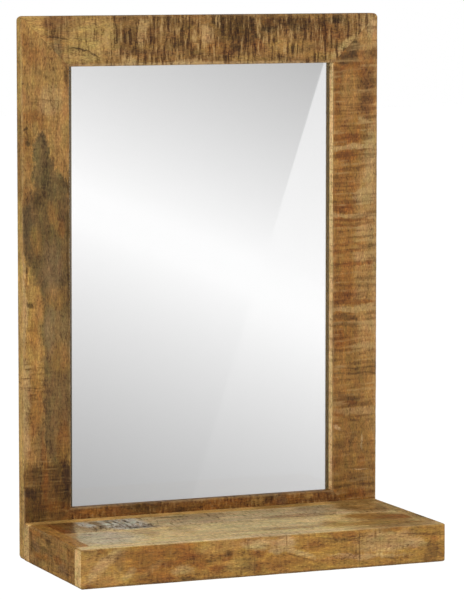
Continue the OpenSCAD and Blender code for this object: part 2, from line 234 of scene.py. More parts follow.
# Each mark and each strip is a tone, a strength, the softness of its edge, and its blobs. Each
# entry of sawn is a strength, that softness, and its blobs. A blob is its centre, across and up,
# its half width, its half height and its tilt in degrees
LEFT_STILE = Wood(
    **STILE_AXES, base=(158, 120, 68), seed=1.0, touched=FRAME_SIDES,
    saw_every=3.0, saw_long=24, saw_deep=0.4, saw_tilt=1.0, streak=1.0, mottle=0.6,
    sawn=((0.8, 0.8, (-236, 238, 16, 26)), (0.4, 0.7, (-210, 588, 26, 12)),
          (0.4, 0.6, (-218, 100, 60, 50)), (-0.3, 0.8, (-206, 360, 22, 130))),
    marks=(
        (GOLD, 0.7, 0.9, (-240, 688, 12, 20), (-245, 644, 6, 10)),
        (RUST, 0.5, 0.8, (-246, 666, 7, 14), (-232, 650, 8, 14)),
        (UMBER, 0.4, 0.9, (-222, 628, 10, 2, -38)),
        (PALE, 0.6, 0.9, (-210, 592, 16, 20)),
        (RUST, 0.6, 0.8, (-236, 572, 13, 9)),
        (ORANGE, 0.5, 0.8, (-221, 563, 8, 10), (-240, 530, 6, 34)),
        (OLIVE, 1.0, 0.4, (-224, 526, 11, 23), (-221, 500, 15, 24), (-206, 486, 24, 17, -30),
         (-214, 438, 37, 46), (-208, 385, 27, 60), (-203, 300, 21, 100), (-201, 205, 20, 90)),
        ((144, 115, 71), 0.65, 0.9, (-203, 290, 20, 50)),
        ((132, 100, 62), 0.7, 0.9, (-203, 200, 17, 50), (-226, 150, 9, 30)),
        (GOLD, 0.95, 0.3, (-243, 362, 20, 50), (-240, 320, 17, 50), (-237, 270, 14, 60)),
        ((112, 88, 54), 0.95, 0.2, (-197.8, 394.1, 45, 90, 26.6)),
        (SOOT, 0.45, 0.8, (-229, 470, 8, 14), (-194, 488, 8, 7)),
        ((98, 80, 54), 0.8, 0.8, (-241, 436, 8, 34)),
        (HONEY, 0.6, 0.9, (-206, 440, 7, 22, 24), (-230, 415, 7, 16), (-203, 340, 14, 16),
         (-200, 262, 14, 22)),
        (RUST, 0.4, 0.9, (-195, 426, 5, 12), (-244, 472, 5, 12)),
        (GREY, 0.4, 0.9, (-209, 375, 14, 34), (-214, 300, 8, 30)),
        (CREAM, 0.5, 0.8, (-248, 330, 3.4, 60), (-246, 200, 6, 60)),
        (ORANGE, 0.6, 0.8, (-235, 296, 6, 22), (-233, 205, 9, 44), (-194, 150, 8, 34)),
        (OLIVE, 0.7, 0.8, (-215, 186, 4, 26)),
        (UMBER, 0.9, 0.3, (-218, 72, 60, 54)),
        (RUST, 0.6, 0.8, (-221, 120, 4, 46), (-205, 68, 20, 7)),
        (SOOT, 0.4, 0.9, (-206, 120, 18, 7), (-236, 66, 12, 18), (-232, 110, 6, 12),
         (-196, 96, 14, 26)),
        (BLACK, 0.68, 0.8, (-242, 88, 12, 7), (-190, 104, 6, 28)),
        (SOOT, 0.75, 0.8, (-242, 331, 4, 4)),
        (SOOT, 0.8, 0.9, (-244, 376, 2.0, 4), (-247, 614, 2.4, 2.0), (-243, 557, 2.6, 2.0),
         (-240, 539, 4.0, 2.2, -40)),
        # painted shade: dark along the inner arris beside the mirror
        (SOOT, 0.7, 0.7, (-187, 425, 2.0, 80), (-189, 624, 3, 14)),
    ),
    strips=(((184, 148, 86), 0.8, 0.2, (-250.4, 350, 1.2, PAST)),
            (UMBER, 0.5, 0.3, (-250.4, 520, 1.2, 60))))

RIGHT_STILE = Wood(
    **STILE_AXES, base=(152, 106, 54), seed=2.0, touched=FRAME_SIDES,
    saw_every=6.0, saw_long=60, saw_deep=1.5, saw_tilt=-2.0, saw_rough=0.6, saw_dark=0.5,
    streak=0.35, mottle=0.8,
    sawn=((-0.7, 0.8, (216, 120, 60, 46)), (-0.5, 0.8, (212, 610, 14, 30))),
    marks=(
        ((166, 126, 74), 0.85, 0.5, (246, 330, 30, 250), (236, 676, 34, 36)),
        ((94, 72, 46), 0.85, 0.9, (214, 652, 9, 18), (204, 640, 14, 9)),
        (UMBER, 0.75, 0.9, (246, 648, 9, 9), (194, 622, 10, 8)),
        (CREAM, 0.6, 0.9, (240, 686, 10, 16)),
        (RUST, 0.6, 0.8, (190, 600, 5, 34), (211, 629, 18, 6), (228, 618, 7, 14, 20)),
        ((122, 84, 53), 0.55, 0.9, (234, 594, 9, 34), (242, 618, 6, 20), (243, 553, 8, 6)),
        (TAN, 0.7, 0.9, (209, 592, 15, 30)),
        (PALE, 0.75, 0.8, (231, 561, 7, 4), (232, 544.5, 8, 1.4), (240, 500, 9, 50)),
        (RUST, 0.8, 0.5, (203, 535, 22, 7), (202, 512, 20, 7), (199, 443, 16, 6)),
        (PALE, 0.75, 0.5, (216, 523, 50, 3.6), (230, 456, 17, 9)),
        (PALE, 0.6, 0.5, (216, 432, 50, 3.8), (216, 307, 50, 4.2), (234, 410, 14, 10)),
        (RUST, 0.7, 0.6, (204, 426, 30, 2), (200, 418, 24, 2), (206, 394, 22, 2, 4),
         (206, 385, 22, 2, 4), (216, 367, 50, 3)),
        (ORANGE, 0.8, 0.7, (203, 341, 14, 13), (200, 263, 14, 14), (230, 207, 18, 6)),
        (RUST, 0.8, 0.6, (202, 326, 15, 8), (195, 270, 8, 12), (216, 316, 50, 3.2)),
        (UMBER, 0.75, 0.6, (202, 297, 20, 4), (203, 287, 22, 3), (208, 241, 5, 5)),
        (PALE, 0.5, 0.8, (236, 284, 16, 8), (232, 256, 16, 6), (230, 376, 16, 6)),
        (HONEY, 0.7, 0.6, (216, 205, 60, 48)),
        (UMBER, 0.65, 0.6, (205, 186, 22, 7), (216, 229, 50, 1.2), (216, 221, 50, 1.2)),
        (RUST, 0.7, 0.8, (213, 182, 12, 2), (194, 168, 9, 5), (208, 158, 7, 4)),
        (PALE, 0.5, 0.7, (226, 171, 40, 5)),
        (HONEY, 0.8, 0.6, (216, 112, 60, 48)),
        (CREAM, 0.6, 0.8, (192, 148, 8, 1.8, -30), (228, 127, 1.4, 13), (226, 90, 12, 1)),
        (UMBER, 0.6, 0.8, (213, 135, 2.4, 9, -20), (193, 126, 8, 5), (216, 159, 8, 2)),
        (RUST, 0.5, 0.9, (227, 103, 6, 8), (192, 104, 7, 14)),
        (UMBER, 0.6, 0.8, (222, 80, 16, 6), (215, 70, 40, 2)),
        (RUST, 0.7, 0.7, (204, 58, 30, 8)),
        # painted highlight along the outer right arris
        (PALE, 0.45, 0.8, (249, 350, 5, 340)),
    ),
    # the inner reveal: its paler fresh wood, with painted light that makes it brighter than white
    # wood
    strips=(((274, 232, 164), 1.0, 0.3, (184.3, 350, 1.0, PAST)),))

TOP_RAIL = Wood(
    **RAIL_AXES, base=(138, 102, 58), seed=3.0, touched=FRAME_SIDES,
    saw_every=3.0, saw_long=24, saw_deep=2.0, streak=0.5, mottle=1.3,
    sawn=((0.9, 1.0, (44, 668, 180, 90)), (-1.8, 0.4, (-238, 670, 24, 60)),
          (-1.0, 0.8, (-172, 668, 26, 40))),
    marks=(
        ((182, 142, 81), 0.95, 0.4, (-240, 670, 24, 70)),
        ((132, 93, 55), 0.8, 0.7, (-204, 692, 14, 9), (-186, 692, 10, 7)),
        ((126, 104, 70), 0.7, 0.9, (-200, 656, 8, 14)),
        ((170, 138, 80), 0.85, 0.8, (-152, 672, 34, 28), (-168, 650, 26, 10)),
        (BROWN, 0.42, 0.9, (-112, 682, 12, 18), (-112, 666, 10, 12), (-94, 654, 14, 5),
         (-66, 686, 16, 5), (-46, 690, 16, 8), (-72, 668, 8, 10), (-32, 661, 16, 6),
         (-62, 645, 14, 9), (-28, 688, 9, 10), (-8, 648, 9, 9), (-95, 668, 7, 7)),
        (PALE, 0.7, 0.8, (-84, 688, 8, 8), (-86, 672, 6, 12), (-104, 642, 12, 6), (5, 673, 9, 12),
         (-20, 640, 16, 4), (70, 690, 2.4, 9)),
        (BROWN, 0.9, 0.9, (45, 682, 30, 22), (95, 688, 20, 10), (135, 686, 22, 9),
         (168, 680, 12, 16), (130, 655, 8, 6)),
        (SOOT, 0.8, 0.9, (44, 656, 10, 4), (92, 681, 12, 4), (64, 688, 7, 8), (78, 671, 9, 5),
         (190, 692, 12, 6), (20, 692, 8, 8)),
        (GOLD, 0.7, 0.9, (62, 643, 22, 5), (112, 656, 24, 10), (160, 646, 24, 6)),
        (RUST, 0.45, 0.9, (180, 672, 22, 12), (75, 659, 10, 7), (20, 655, 18, 8)),
        ((190, 156, 100), 0.65, 0.9, (200, 657, 24, 4.0, 42)),
        (PALE, 0.6, 0.9, (234, 688, 12, 12, -30)),
        (SOOT, 0.8, 0.6, (-200, 671.5, 17, 0.9, -4), (-168, 657, 15, 1.1, -12),
         (-152, 651, 8, 1.2, -25)),
    ),
    # painted highlight along the rail's lower arris
    strips=((CREAM, 0.55, 0.9, (0, 636.5, 183, 2.6)),))

BOTTOM_RAIL = Wood(
    **RAIL_AXES, base=(126, 86, 48), seed=4.0, touched="-y +z", saw_every=3.4, saw_long=12,
    saw_deep=1.4, mottle=1.2,
    marks=(
        (SOOT, 0.6, 0.9, (-85, 58, 22, 9), (90, 62, 12, 5), (-30, 53, 16, 4)),
        (PLUM, 0.6, 0.9, (110, 58, 8, 9)),
        (GOLD, 0.7, 0.9, (77, 60, 9, 8), (150, 62, 8, 4)),
        (ORANGE, 0.8, 0.9, (15, 58, 38, 9), (130, 60, 12, 7), (-150, 60, 20, 6)),
    ),
    strips=((HONEY, 0.7, 0.3, (0, 65.6, PAST, 1.0)),))

SHELF_FRONT = Wood(
    **RAIL_AXES, base=(163, 121, 60), seed=5.0, touched="-x +x -y -z +z", saw_every=3.0,
    saw_long=18, saw_deep=0.6, streak=0.9, mottle=0.5,
    marks=(
        (GOLD, 0.8, 0.8, (-228, 34, 24, 26), (-205, 12, 24, 10)),
        (RUST, 0.6, 0.8, (-221, 46, 8, 4), (-239, 4, 7, 4)),
        (PALE, 0.75, 0.9, (-216, 30, 32, 7, 38)),
        (PLUM, 0.45, 0.9, (-197, 33, 6, 11)),
        (ORANGE, 0.9, 0.7, (-132, 32, 58, 22), (-150, 8, 26, 10)),
        (RUST, 0.65, 0.9, (-100, 31, 22, 4, 6), (-88, 22, 12, 6), (-130, 24, 20, 3, 10)),
        (PALE, 0.6, 0.9, (-115, 14, 16, 6), (-185, 17, 10, 5, 50)),
        (TAN, 0.5, 0.9, (-158, 20, 18, 4, 30)),
        (GOLD, 0.8, 0.8, (-62, 40, 34, 8), (-44, 16, 14, 8)),
        (RUST, 0.75, 1.2, (-67, 14, 11, 5), (-54, 29, 8, 6), (-9, 29, 10, 5), (-12, 10, 6, 8)),
        (SOOT, 0.6, 1.0, (-68, 4, 12, 3), (-105, 2, 14, 2.6), (-76, 24, 4, 2), (-54, 31, 5, 3)),
        (CREAM, 0.6, 0.9, (-12, 41, 20, 7), (22, 39, 16, 9), (14, 30, 10, 4)),
        (OLIVE, 0.4, 0.9, (-24, 14, 10, 12), (20, 48, 12, 4)),
        (ORANGE, 0.6, 0.8, (22, 17, 26, 10), (65, 32, 14, 6)),
        (PALE, 0.75, 0.8, (42, 26, 26, 3.4, -18), (165, 32, 40, 15)),
        (ORANGE, 0.8, 0.7, (108, 46, 21, 5), (172, 48, 14, 4)),
        (CREAM, 0.45, 0.9, (140, 15, 50, 3, -3), (110, 19, 24, 1.6, -6), (205, 27, 16, 6)),
        (UMBER, 0.7, 0.9, (231, 15, 10, 11), (224, 7, 8, 5)),
        (RUST, 0.5, 0.9, (234, 32, 5, 6), (244, 12, 4, 6)),
    ),
    strips=(((218, 181, 120), 0.9, 0.2, *BOTH_ENDS),
            (SOOT, 0.6, 0.8, (0, 0.6, PAST, 2.2)),
            # the front board's top: paler wood, brightened further as a painted highlight
            ((224, 196, 142), 0.9, 0.3, (0, 52.6, PAST, 3.2)),
            ((156, 116, 64), 0.9, 0.6, (185, 52.6, 90, 3.4)),
            (UMBER, 0.6, 0.8, (50, 19, 24, 1, -18), (95, 40, 34, 1, -8), (218, 38, 34, 1, -5),
             (128, 26, 1, 22), (27, 44, 1, 8), (-17, 16, 1, 10))))

SHELF_BACK = Wood(
    # its base tone is painted light: paler than the wood, to lift the shade that the frame casts on
    # its top
    **RAIL_AXES, base=(216, 172, 104), seed=6.0, touched="-x +x -z +z", saw_every=2.6, saw_deep=0.4,
    marks=(
        (HONEY, 0.6, 0.8, (-214, 50, 30, 30), (110, 50, 40, 30)),
        (UMBER, 0.6, 0.8, (215, 50, 34, 30)),
    ),
    strips=((PALE, 0.9, 0.2, *BOTH_ENDS),))

TOP_REAR = Wood(
    **TOP_AXES, base=(206, 179, 130), seed=7.0, touched="+z",
    saw_every=5.0, saw_long=20, saw_deep=0.8, saw_tilt=-8.0, streak=0.8, mottle=1.2, rough=0.36,
    sawn=((1.6, 0.6, (-142, -78, 50, 60)), (0.8, 0.9, (-40, -70, 60, 40))),
    marks=(
        (PLUM, 0.4, 0.9, (-186, -80, 20, 40), (-24, -60, 34, 24), (140, -70, 30, 30)),
        # painted reflection: near white where the rough sawn patch mirrors the mirror above
        ((208, 205, 190), 0.85, 0.6, (-134, -72, 30, 50), (-180, -62, 10, 20)),
        (SOOT, 0.65, 0.8, (-166, -72, 6, 26), (-122, -104, 20, 8), (-60, -52, 24, 5),
         (-150, -60, 2.4, 20), (-140, -74, 2, 26), (-124, -62, 2, 14)),
        (CREAM, 0.6, 0.9, (-25, -92, 18, 16), (-62, -80, 12, 20)),
        ((162, 122, 68), 0.9, 0.6, (214, -62, 44, 40)),
        ((112, 80, 46), 0.6, 0.9, (184, -76, 16, 16)),
        (HONEY, 0.7, 0.8, (205, -104, 34, 18), (96, -104, 44, 14)),
    ),
    # painted reflection of the left stile in the top's left corner
    strips=(((112, 78, 42), 0.95, 0.25, PAINTED_REFLECTION_CORNER),
            ((140, 84, 46), 0.7, 0.9, (-230, -80, 14, 60))))

TOP_FRONT = Wood(
    **TOP_AXES, base=(217, 187, 125), seed=8.0, touched="+z",
    saw_every=5.0, saw_long=24, saw_deep=0.4, saw_tilt=4.0, streak=0.9, mottle=1.3, rough=0.33,
    marks=(
        # painted highlight: the pale glow at the top's front left corner
        ((198, 183, 150), 0.9, 0.9, (-195, -160, 44, 50)),
        (TAN, 0.35, 0.9, (-78, -150, 9, 40), (-130, -150, 14, 30)),
        ((216, 190, 130), 0.8, 0.9, (10, -150, 70, 30)),
        (GOLD, 0.7, 0.9, (112, -180, 20, 20), (60, -186, 50, 10)),
        ((160, 114, 60), 0.95, 0.9, (192, -150, 36, 30), (218, -160, 22, 22), (172, -138, 24, 18)),
        ((158, 100, 52), 0.6, 0.9, (210, -158, 22, 18)),
        ((156, 116, 62), 0.9, 0.9, (176, -190, 50, 18), (206, -204, 50, 10)),
    ),
    # painted reflection of the left stile in the top's left corner
    strips=(((176, 134, 78), 0.9, 0.3, PAINTED_REFLECTION_CORNER),))

LEFT_END = Wood(
    **END_AXES, base=(146, 109, 62), seed=9.0, touched="-x -z +z", saw_every=4.5, saw_long=14,
    saw_deep=0.8, mottle=0.8,
    marks=(
        (GOLD, 0.6, 0.9, (-178, 44, 26, 8), (-130, 8, 50, 5)),
        (ORANGE, 0.7, 0.9, (-194, 38, 14, 7), (-66, 43, 24, 5), (-88, 18, 30, 5)),
        (SOOT, 0.5, 1.2, (-104, 28, 28, 5), (-112, 42, 12, 4), (-184, 16, 5, 10)),
        (PLUM, 0.7, 0.9, (-166, 14, 18, 6), (-66, 26, 14, 6)),
        (RUST, 0.7, 0.9, (-146, 23, 14, 5)),
        (UMBER, 0.7, 0.8, (-113, 15, 2, 14), (-129, 12, 1.6, 12), (-88, 14, 1.4, 12),
         (-50, 26, 2.4, 12), (-46, 40, 5, 6)),
        (OLIVE, 0.4, 0.9, (-60, 6, 20, 4)),
    ),
    # painted light: the top face paler, as lit from above
    strips=(((172, 124, 66), 0.9, 0.3, (-120, 52.6, PAST, 3.0)),))

RIGHT_END = Wood(
    **END_AXES, base=(138, 102, 58), seed=10.0, touched="+x -z +z", saw_every=4.0, saw_long=14,
    saw_deep=1.2, mottle=1.1,
    marks=(
        (UMBER, 0.6, 0.9, (-110, 22, 34, 7), (-180, 36, 14, 6)),
        (GOLD, 0.6, 0.9, (-150, 42, 50, 6)),
        (RUST, 0.5, 0.9, (-70, 12, 26, 7)),
    ),
    # painted light: the top face paler, as lit from above
    strips=(((182, 148, 94), 0.9, 0.3, (-120, 52.6, PAST, 3.0)),))

BOTTOM_REAR = Wood(
    **TOP_AXES, base=HONEY, seed=11.0, touched="-z", saw_every=4.5, saw_long=50, saw_deep=0.5,
    mottle=0.7, rough=0.5,
    marks=(
        (PALE, 0.7, 0.9, (-130, -70, 60, 34)),
        (RUST, 0.5, 0.9, (20, -88, 46, 12, 4), (70, -56, 30, 8)),
        (UMBER, 0.7, 0.8, (170, -74, 26, 30), (-214, -52, 14, 24)),
    ))
BOTTOM_FRONT = Wood(
    **TOP_AXES, base=TAN, seed=12.0, touched="-z", saw_every=4.5, saw_long=50, saw_deep=0.5,
    mottle=0.7, rough=0.5,
    marks=(
        (GOLD, 0.7, 0.9, (90, -170, 80, 24)),
        (ORANGE, 0.6, 0.9, (-90, -150, 50, 16, -5)),
        (UMBER, 0.6, 0.9, (-196, -184, 30, 22), (200, -140, 24, 10)),
        (SOOT, 0.7, 0.7, (-30, -176, 7, 5)),
    ))

BOARDS = {
    "left_stile": LEFT_STILE,
    "right_stile": RIGHT_STILE,
    "top_rail": TOP_RAIL,
    "bottom_rail": BOTTOM_RAIL,
    "shelf_front_board": SHELF_FRONT,
    "shelf_back_board": SHELF_BACK,
    "shelf_left_end": LEFT_END,
    "shelf_right_end": RIGHT_END,
    "shelf_top_rear_board": TOP_REAR,
    "shelf_top_front_board": TOP_FRONT,
    "shelf_bottom_rear_board": BOTTOM_REAR,
    "shelf_bottom_front_board": BOTTOM_FRONT,
}


# The patterns that every board has. Each is how often it repeats in a millimetre along the grain
# and across it, an offset to the board's seed, and the detail and the roughness of its noise
PATTERNS = {
    "streak": (0.04, 0.33, 60, 4, 0.65),
    "speck": (0.20, 0.34, 80, 4, 0.7),
    "patch": (0.05, 0.06, 30, 4, 0.65),
    "figure": (0.010, 0.09, 50, 4, 0.6),
    "cloud": (0.04, 0.06, 70, 3, 0.6),
    "fibre": (0.26, 0.75, 95, 2, 0.6),
    "hue": (0.04, 0.10, 75, 3, 0.6),
    "pore": (0.16, 1.6, 90, 2, 0.5),
}

# What the wood's colour is multiplied by in its darkest and its palest figure, in a dark saw line
# and in a pore, and the tone of a pale saw line
DARK_FIGURE = (0.44, 0.36, 0.28, 1)
PALE_FIGURE = (1.6, 1.65, 1.7, 1)
DARK_LINE = (0.40, 0.32, 0.22, 1)
PORE_DARK = (0.45, 0.4, 0.35, 1)
PALE_LINE = (188, 152, 98)

RELIEF = 0.15 * MM  # depth of the lines and pores under the lacquer
LACQUER_SHINE = 0.25


class WoodNet(Net):
    """One board's lacquered mango, with the patterns that its colour and its relief share."""

    def __init__(self, name, wood):
        super().__init__(name)
        self.wood = wood
        place = self.place_mm()
        self.grain = self.reorder(place, wood.grain)
        self.bent = self.drift(self.grain, wood.seed + 40, size=90, reach=7.0)
        self.streak = self.pattern("streak", self.bent)
        self.speck = self.pattern("speck", self.grain)
        self.flat = self.reorder(place, wood.face)
        wavy = self.drift(self.flat, wood.seed, size=40, reach=6.0)
        self.face = self.drift(wavy, wood.seed + 5, size=10, reach=3.0)
        self.lines = self.saw_lines()
        self.dark = self.ramp(self.lines, 0.50, 0.66)
        self.pale = self.ramp(self.lines, 0.48, 0.33)
        self.sawn = self.saw_share()

    def pattern(self, name, grain, out="Fac"):
        """One of the patterns, drawn out along the grain."""
        along, across, offset, detail, rough = PATTERNS[name]
        seed = self.wood.seed + offset
        return self.noise(grain, (along, across, across), seed, detail, rough, out)

    def together(self, *gains):
        """Several patterns, each about its own middle and times its gain, added up."""
        total = -0.5 * sum(gain for _, gain in gains)
        for pattern, gain in gains:
            total = self.calc("MULTIPLY_ADD", pattern, gain, total)
        return total

    def saw_lines(self):
        """Noise drawn out into the lines that the saw left across the board."""
        wood = self.wood
        slant = (math.tan(math.radians(wood.saw_tilt)), 0, 0)
        across_grain = self.reorder(self.grain, "yyy")
        slanted = self.vector_calc("MULTIPLY_ADD", across_grain, slant, self.grain)
        wander = self.drift(slanted, wood.seed + 0.5, size=60, reach=2.5)
        along, across = 1 / wood.saw_every, 1 / wood.saw_long
        return self.noise(wander, (along, across, across), wood.seed + 20, 4, wood.saw_rough)

    def saw_share(self):
        """How strong those lines are from place to place."""
        here = self.ramp(self.pattern("patch", self.grain), 0.36, 0.58, 0.3, 1.0)
        deep = self.wood.saw_deep
        for gain, soft, *blobs in self.wood.sawn:
            deep = self.calc("MULTIPLY_ADD", self.cover(self.face, blobs, soft), gain, deep)
        return self.calc("MULTIPLY", here, deep)

    def marked(self):
        """The board's own tones: its marks, and over them its strips."""
        wood = self.wood
        ragged = self.together((self.lines, wood.saw_deep), (self.speck, 1.2), (self.streak, 0.6))
        shade = self.marks(wood_tone(*wood.base), self.face, wood.marks, ragged)
        return self.marks(shade, self.flat, wood.strips)

    def figured(self, shade):
        """Varies the shade with the figure of the wood, in hue and from dark to pale."""
        tone = self.together(
            (self.pattern("figure", self.bent), 0.8), (self.streak, self.wood.streak),
            (self.pattern("cloud", self.grain), 0.5), (self.speck, self.wood.mottle),
            (self.pattern("fibre", self.grain), 1.3))
        hue = self.pattern("hue", self.grain, out="Color")
        hue = self.vector_calc("MULTIPLY_ADD", hue, (0.5, 0.3, 0.4), (0.75, 0.85, 0.8))
        shade = self.mix(1.0, shade, hue, "MULTIPLY")
        shade = self.mix(self.ramp(tone, 0.0, -0.42), shade, DARK_FIGURE, "MULTIPLY")
        return self.mix(self.ramp(tone, 0.0, 0.42), shade, PALE_FIGURE, "MULTIPLY")

    def lined(self, shade):
        """Draws the saw's lines over the shade, the dark ones and the pale ones."""
        darkness = self.calc("MULTIPLY", self.dark, self.calc("MULTIPLY", self.sawn, 0.8))
        darkness = self.calc("MINIMUM", darkness, self.wood.saw_dark)
        shade = self.mix(darkness, shade, DARK_LINE, "MULTIPLY")
        paleness = self.calc("MULTIPLY", self.sawn, 0.34)
        paleness = self.calc("MULTIPLY", self.pale, paleness, clamp=True)
        return self.mix(paleness, shade, wood_tone(*PALE_LINE))

    def rubbed(self, shade):
        """Bares the wood where handling has worn an edge."""
        worn = self.node("ShaderNodeAttribute", "Fac", {}, attribute_name="worn")
        bare = self.calc("MULTIPLY", worn, self.ramp(self.speck, 0.3, 0.6, 0.35, 0.85))
        return self.mix(bare, shade, wood_tone(*CREAM))

    def lacquer(self, pore):
        """The lacquer's gloss, and the relief that shows through it."""
        gloss = self.calc("MULTIPLY_ADD", self.dark, 0.14, self.wood.rough - 0.05)
        gloss = self.calc("MULTIPLY_ADD", self.speck, 0.1, gloss)
        self.feed(self.shader.inputs["Roughness"], gloss)
        relief = self.calc("SUBTRACT", self.calc("MULTIPLY", self.pale, 0.4), self.dark)
        relief = self.calc("MULTIPLY", relief, self.sawn)
        relief = self.calc("MULTIPLY_ADD", pore, -0.4, relief)
        relief = self.calc("MULTIPLY_ADD", self.streak, 0.35, relief)
        bump = self.node("ShaderNodeBump", 0, {
            "Height": relief, "Strength": 0.8, "Distance": RELIEF})
        self.feed(self.shader.inputs["Normal"], bump)
        self.shader.inputs["Specular IOR Level"].default_value = LACQUER_SHINE


def wood_material(name, wood):
    """Lacquered mango: the board's own marks, under figure, saw lines, pores and worn edges."""
    net = WoodNet(name, wood)
    shade = net.lined(net.figured(net.marked()))
    pore = net.ramp(net.pattern("pore", net.grain), 0.56, 0.68)
    shade = net.mix(net.calc("MULTIPLY", pore, 0.4), shade, PORE_DARK, "MULTIPLY")
    net.feed(net.shader.inputs["Base Color"], net.rubbed(shade))
    net.lacquer(pore)
    return net.material


# The boards as worn pieces

STEP = 3.0 * MM  # spacing of the lines that the boards' meshes are cut along
REACH = 4.0 * MM  # how far from an edge its wear goes
DISH = 0.12 * MM  # most that a face is planed uneven
RUB = 0.35 * MM  # most that handling takes off an edge
DENT = 0.9 * MM  # a knock is this deep, times how far its noise is above KNOCK
KNOCK = 0.42

# How many waves a metre their noise has
DISH_WAVES, RUB_WAVES, FINE_RUB_WAVES, DENT_WAVES = 22, 30, 90, 48


def cut_close(shape, low, high):
    """Cuts a mesh along evenly spaced planes, the longest way first."""
    for axis in sorted(range(3), key=lambda a: low[a] - high[a]):
        count = max(1, round((high[axis] - low[axis]) / STEP))
        across = Vector([float(axis == a) for a in range(3)])
        for i in range(1, count):
            bmesh.ops.bisect_plane(
                shape, geom=shape.verts[:] + shape.edges[:] + shape.faces[:], dist=1e-7,
                plane_co=low + (high - low) * i / count, plane_no=across)


def nearness(gap):
    """1 on a face, falling to 0 where the reach of the wear ends."""
    left = max(0.0, 1 - gap / REACH)
    return left * left * (3 - 2 * left)


def wear(place, sides, low, high, seed):
    """How far a point of a board is worn in, and how bare the wood is there, 0 to 1."""
    close = []
    for axis, sign in sides:
        gap = high[axis] - place[axis] if sign > 0 else place[axis] - low[axis]
        close.append((nearness(gap), axis, sign))
    near_edge = sorted(c[0] for c in close)[-2] if len(close) > 1 else 0.0
    spot = place + Vector((seed, 0, 0))
    dish = DISH * (0.5 + 0.5 * noise.noise(spot * DISH_WAVES))
    rub = dent = 0.0
    if near_edge:
        rub = 0.35 + 0.5 * noise.noise(spot * RUB_WAVES) + 0.5 * noise.noise(spot * FINE_RUB_WAVES)
        rub = min(1.0, max(0.0, rub))
        dent = max(0.0, noise.noise(spot * DENT_WAVES + Vector((0, 9, 0))) - KNOCK)
    taken = dish + near_edge * (RUB * rub + DENT * dent)
    worn_in = Vector((0, 0, 0))
    for share, axis, sign in close:
        worn_in[axis] -= sign * share * taken
    return worn_in, min(1.0, near_edge ** 2 * (rub + dent))


def add_object(name, mesh, material):
    """A mesh with its material, as an object in the scene."""
    mesh.materials.append(material)
    made = bpy.data.objects.new(name, mesh)
    bpy.context.scene.collection.objects.link(made)
    return made


def worn_board(name, node, wood, material):
    """A close-meshed copy of a board, planed a little uneven, with rubbed and knocked edges."""
    low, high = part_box(name)
    shape = bmesh.new()
    shape.from_mesh(node.data)
    bmesh.ops.remove_doubles(shape, verts=shape.verts, dist=0.001 * MM)
    cut_close(shape, low, high)
    sides = [("xyz".index(side[1]), 1 if side[0] == "+" else -1) for side in wood.touched]
    bare = []
    for vert in shape.verts:
        worn_in, bareness = wear(vert.co, sides, low, high, wood.seed)
        vert.co += worn_in
        bare.append(bareness)
    mesh = bpy.data.meshes.new(name + "_worn")
    shape.to_mesh(mesh)
    shape.free()
    mesh.attributes.new("worn", "FLOAT", "POINT").data.foreach_set("value", bare)
    mesh.shade_smooth()
    mesh.set_sharp_from_angle(angle=math.radians(30))
    board = add_object(name + "_worn", mesh, material)
    board.visible_transmission = False
    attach(board, "root")
    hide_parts(name)


def dowel_material():
    net = Net("beech_dowel")
    place = net.place_mm()
    fleck = net.ramp(net.noise(place, (0.9, 0.9, 0.25), 3, 3, 0.6), 0.55, 0.7)
    shade = net.mix(fleck, wood_tone(196, 160, 116), wood_tone(164, 122, 82))
    net.feed(net.shader.inputs["Base Color"], shade)
    net.shader.inputs["Roughness"].default_value = 0.6
    return net.material


def hardboard_material():
    """Pressed fibre board: brown, with short pale and dark fibres."""
    net = Net("hardboard")
    place = net.place_mm()
    cloud = net.noise(place, (0.02, 0.02, 0.02), 1, 4, 0.6)
    fibre = net.noise(net.drift(place, 2, 9, 3), (0.25, 1.6, 1.1), 5, 4, 0.7)
    shade = net.mix(net.ramp(cloud, 0.3, 0.7), wood_tone(127, 93, 62), wood_tone(137, 101, 68))
    shade = net.mix(net.ramp(fibre, 0.52, 0.72, 0, 0.6), shade, wood_tone(92, 64, 42))
    shade = net.mix(net.ramp(fibre, 0.44, 0.28, 0, 0.5), shade, wood_tone(172, 136, 98))
    net.feed(net.shader.inputs["Base Color"], shade)
    net.feed(net.shader.inputs["Normal"], net.node(
        "ShaderNodeBump", 0, {"Height": fibre, "Strength": 0.5, "Distance": 0.05 * MM}))
    net.shader.inputs["Roughness"].default_value = 0.55
    return net.material


def steel_material():
    """Zinc-plated steel, with a faint spangle and a soft brush."""
    net = Net("zinc_plated_steel")
    place = net.place_mm()
    spangle = net.noise(place, (0.4, 0.4, 0.4), 1, 3, 0.6)
    brush = net.noise(place, (3.0, 3.0, 0.15), 4, 3, 0.6)
    shade = net.mix(net.ramp(spangle, 0.35, 0.65), (0.56, 0.57, 0.59, 1), (0.72, 0.73, 0.74, 1))
    net.feed(net.shader.inputs["Base Color"], shade)
    net.feed(net.shader.inputs["Roughness"], net.ramp(brush, 0.3, 0.7, 0.28, 0.46, "LINEAR"))
    net.shader.inputs["Metallic"].default_value = 0.6
    return net.material


def glass_material():
    """Clear float glass, with the faint green that its edge shows."""
    net = Net("clear_glass")
    place = net.place_mm()
    wave = net.noise(place, (0.01, 0.01, 0.01), 2, 1, 0.5)
    net.feed(net.shader.inputs["Base Color"],
             net.mix(wave, (0.990, 0.995, 0.991, 1), (0.993, 0.998, 0.994, 1)))
    net.shader.inputs["Transmission Weight"].default_value = 1.0
    net.shader.inputs["Roughness"].default_value = 0.0
    net.shader.inputs["IOR"].default_value = 1.5
    return net.material


# The painted shade on the silver beside the bars, which stands in for the rebate's shade that the
# mirror shows there, in millimetres in from them: how far each line is wholly dark, and where it
# ends. The left one widens on its way up, by this many millimetres for each millimetre
LINE_DARK, LINE_END = 3.5, 4.3
LEFT_LINE_DARK, LEFT_LINE_END = 5.8, 6.7
LEFT_LINE_WIDENS = 0.0025


